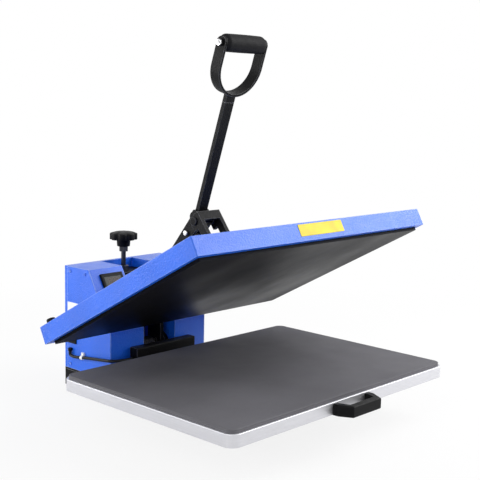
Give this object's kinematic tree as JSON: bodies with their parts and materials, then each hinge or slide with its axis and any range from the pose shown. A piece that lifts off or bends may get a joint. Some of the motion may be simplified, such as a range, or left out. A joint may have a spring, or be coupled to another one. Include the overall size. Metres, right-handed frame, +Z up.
{
  "type": "flat heat press",
  "caption": "Clamshell flat heat press with a raised heated platen, toggle lever with D handle, pressure knob, side controller and slide-out padded bed.",
  "frame": {"origin": "on the floor under the middle of the press's overall box, drawer in and platen raised", "axes": "+X to the right seen from the front, +Y from the front to the back, +Z up"},
  "size_m": [0.738, 0.811, 0.8639],
  "materials": {
    "blue_paint": "hammered gloss powder coat",
    "black_paint": "satin powder coat",
    "silicone": "matte",
    "tray_metal": "satin",
    "platen_coating": "non-stick coating",
    "steel": "zinc plated",
    "spring_steel": "oiled",
    "blackened_steel": "blackened",
    "black_plastic": "moulded",
    "rocker_plastic": "gloss",
    "key_plastic": "moulded",
    "display": "dark window",
    "grip_rubber": "matte",
    "foot_rubber": "matte",
    "white_nylon": "moulded",
    "white_plate": "printed film, bare",
    "yellow_plate": "printed film, bare",
    "insulation": "felted",
    "lead_sheath": "satin"
  },
  "bodies": {
    "base": {"base_rails": "black_paint", "base_crosses": "black_paint", "rubber_feet": "foot_rubber", "deck_plate": "black_paint", "deck_riser": "black_paint", "hinge_lugs": "black_paint", "hinge_shaft": "steel", "lift_spring": "spring_steel", "slide_channels": "steel", "left_box": "blue_paint", "right_box": "blue_paint", "side_panels": "blue_paint", "panel_screws": "blue_paint", "rear_pan": "blue_paint", "mains_socket": "black_plastic", "switch_frame": "black_plastic", "rating_plate": "white_plate", "controller_body": "black_plastic", "controller_bezel": "black_plastic", "display_window": "display", "relay": "black_plastic", "screw_bridge": "black_paint", "bridge_nut": "blackened_steel", "heater_lead": "lead_sheath", "lead_glands": "black_plastic", "lead_clip": "white_nylon"},
    "drawer": {"silicone_pad": "silicone", "tray": "tray_metal", "tray_pull": "black_plastic", "pull_screws": "steel", "slide_bars": "steel", "slide_shoes": "white_nylon"},
    "platen": {"swing_arm_left": "black_paint", "swing_arm_right": "black_paint", "mount_bars": "black_paint", "platen_bolts": "steel", "cover_shell": "blue_paint", "cover_plug": "black_plastic", "caution_plate": "yellow_plate", "heating_plate": "platen_coating", "heating_element": "steel", "insulation_blanket": "insulation", "temperature_sensor": "steel", "yoke": "black_paint", "yoke_pin": "black_paint"},
    "lever": {"fork_plates": "black_paint", "lever_bolts": "steel", "lever_bar": "black_paint", "handle_frame": "black_paint", "handle_grip": "grip_rubber"},
    "pressure_block": {"pressure_block": "black_paint", "link_pin": "steel"},
    "knob": {"pressure_screw": "blackened_steel", "lock_nut": "blackened_steel", "pressure_knob": "black_plastic"},
    "link": {"link_bar": "black_paint"},
    "set_key": {"set_key": "key_plastic"},
    "down_key": {"down_key": "key_plastic"},
    "up_key": {"up_key": "key_plastic"},
    "power_rocker": {"power_rocker": "rocker_plastic"}
  },
  "joints": [
    {"name": "platen_hinge", "type": "hinge", "parent": "base", "child": "platen", "pos_m": [0, 0.2795, 0.11], "axis": [1, 0, 0], "range_deg": [0, 28.3], "stiffness_Nm_per_rad": 190, "springref_deg": -57.3},
    {"name": "lever_pivot", "type": "hinge", "parent": "platen", "child": "lever", "pos_m": [0, 0.07475, 0.44468], "axis": [1, 0, 0], "range_deg": [0, 16.29]},
    {"name": "drawer_slide", "type": "slide", "parent": "base", "child": "drawer", "axis": [0, -1, 0], "range_m": [0, 0.24]},
    {"name": "block_slide", "type": "slide", "parent": "base", "child": "pressure_block", "axis": [0, 0, 1], "range_m": [-0.004, 0.004]},
    {"name": "knob_turn", "type": "hinge", "parent": "pressure_block", "child": "knob", "pos_m": [0, 0.3681, 0.367], "axis": [0, 0, 1], "range_deg": [-721, 721]},
    {"name": "link_pivot", "type": "hinge", "parent": "pressure_block", "child": "link", "pos_m": [0, 0.3681, 0.23], "axis": [1, 0, 0], "range_deg": [-43.83, 0]},
    {"name": "rocker_tilt", "type": "hinge", "parent": "base", "child": "power_rocker", "pos_m": [-0.1515, 0.3755, 0.14], "axis": [0, -1, 0], "range_deg": [0, 10]},
    {"name": "set_key_press", "type": "slide", "parent": "base", "child": "set_key", "axis": [0, 0.8575, -0.5145], "range_m": [0, 0.0008], "stiffness_N_per_m": 500, "springref_m": -0.001},
    {"name": "down_key_press", "type": "slide", "parent": "base", "child": "down_key", "axis": [0, 0.8575, -0.5145], "range_m": [0, 0.0008], "stiffness_N_per_m": 500, "springref_m": -0.001},
    {"name": "up_key_press", "type": "slide", "parent": "base", "child": "up_key", "axis": [0, 0.8575, -0.5145], "range_m": [0, 0.0008], "stiffness_N_per_m": 500, "springref_m": -0.001}
  ],
  "couplings": [
    {"joint": "lever_pivot", "follows": "platen_hinge", "ratio": 0.57217},
    {"joint": "link_pivot", "follows": "platen_hinge", "ratio": -1.5451},
    {"joint": "knob_turn", "follows": "block_slide", "rad_per_m": 3141.6}
  ]
}
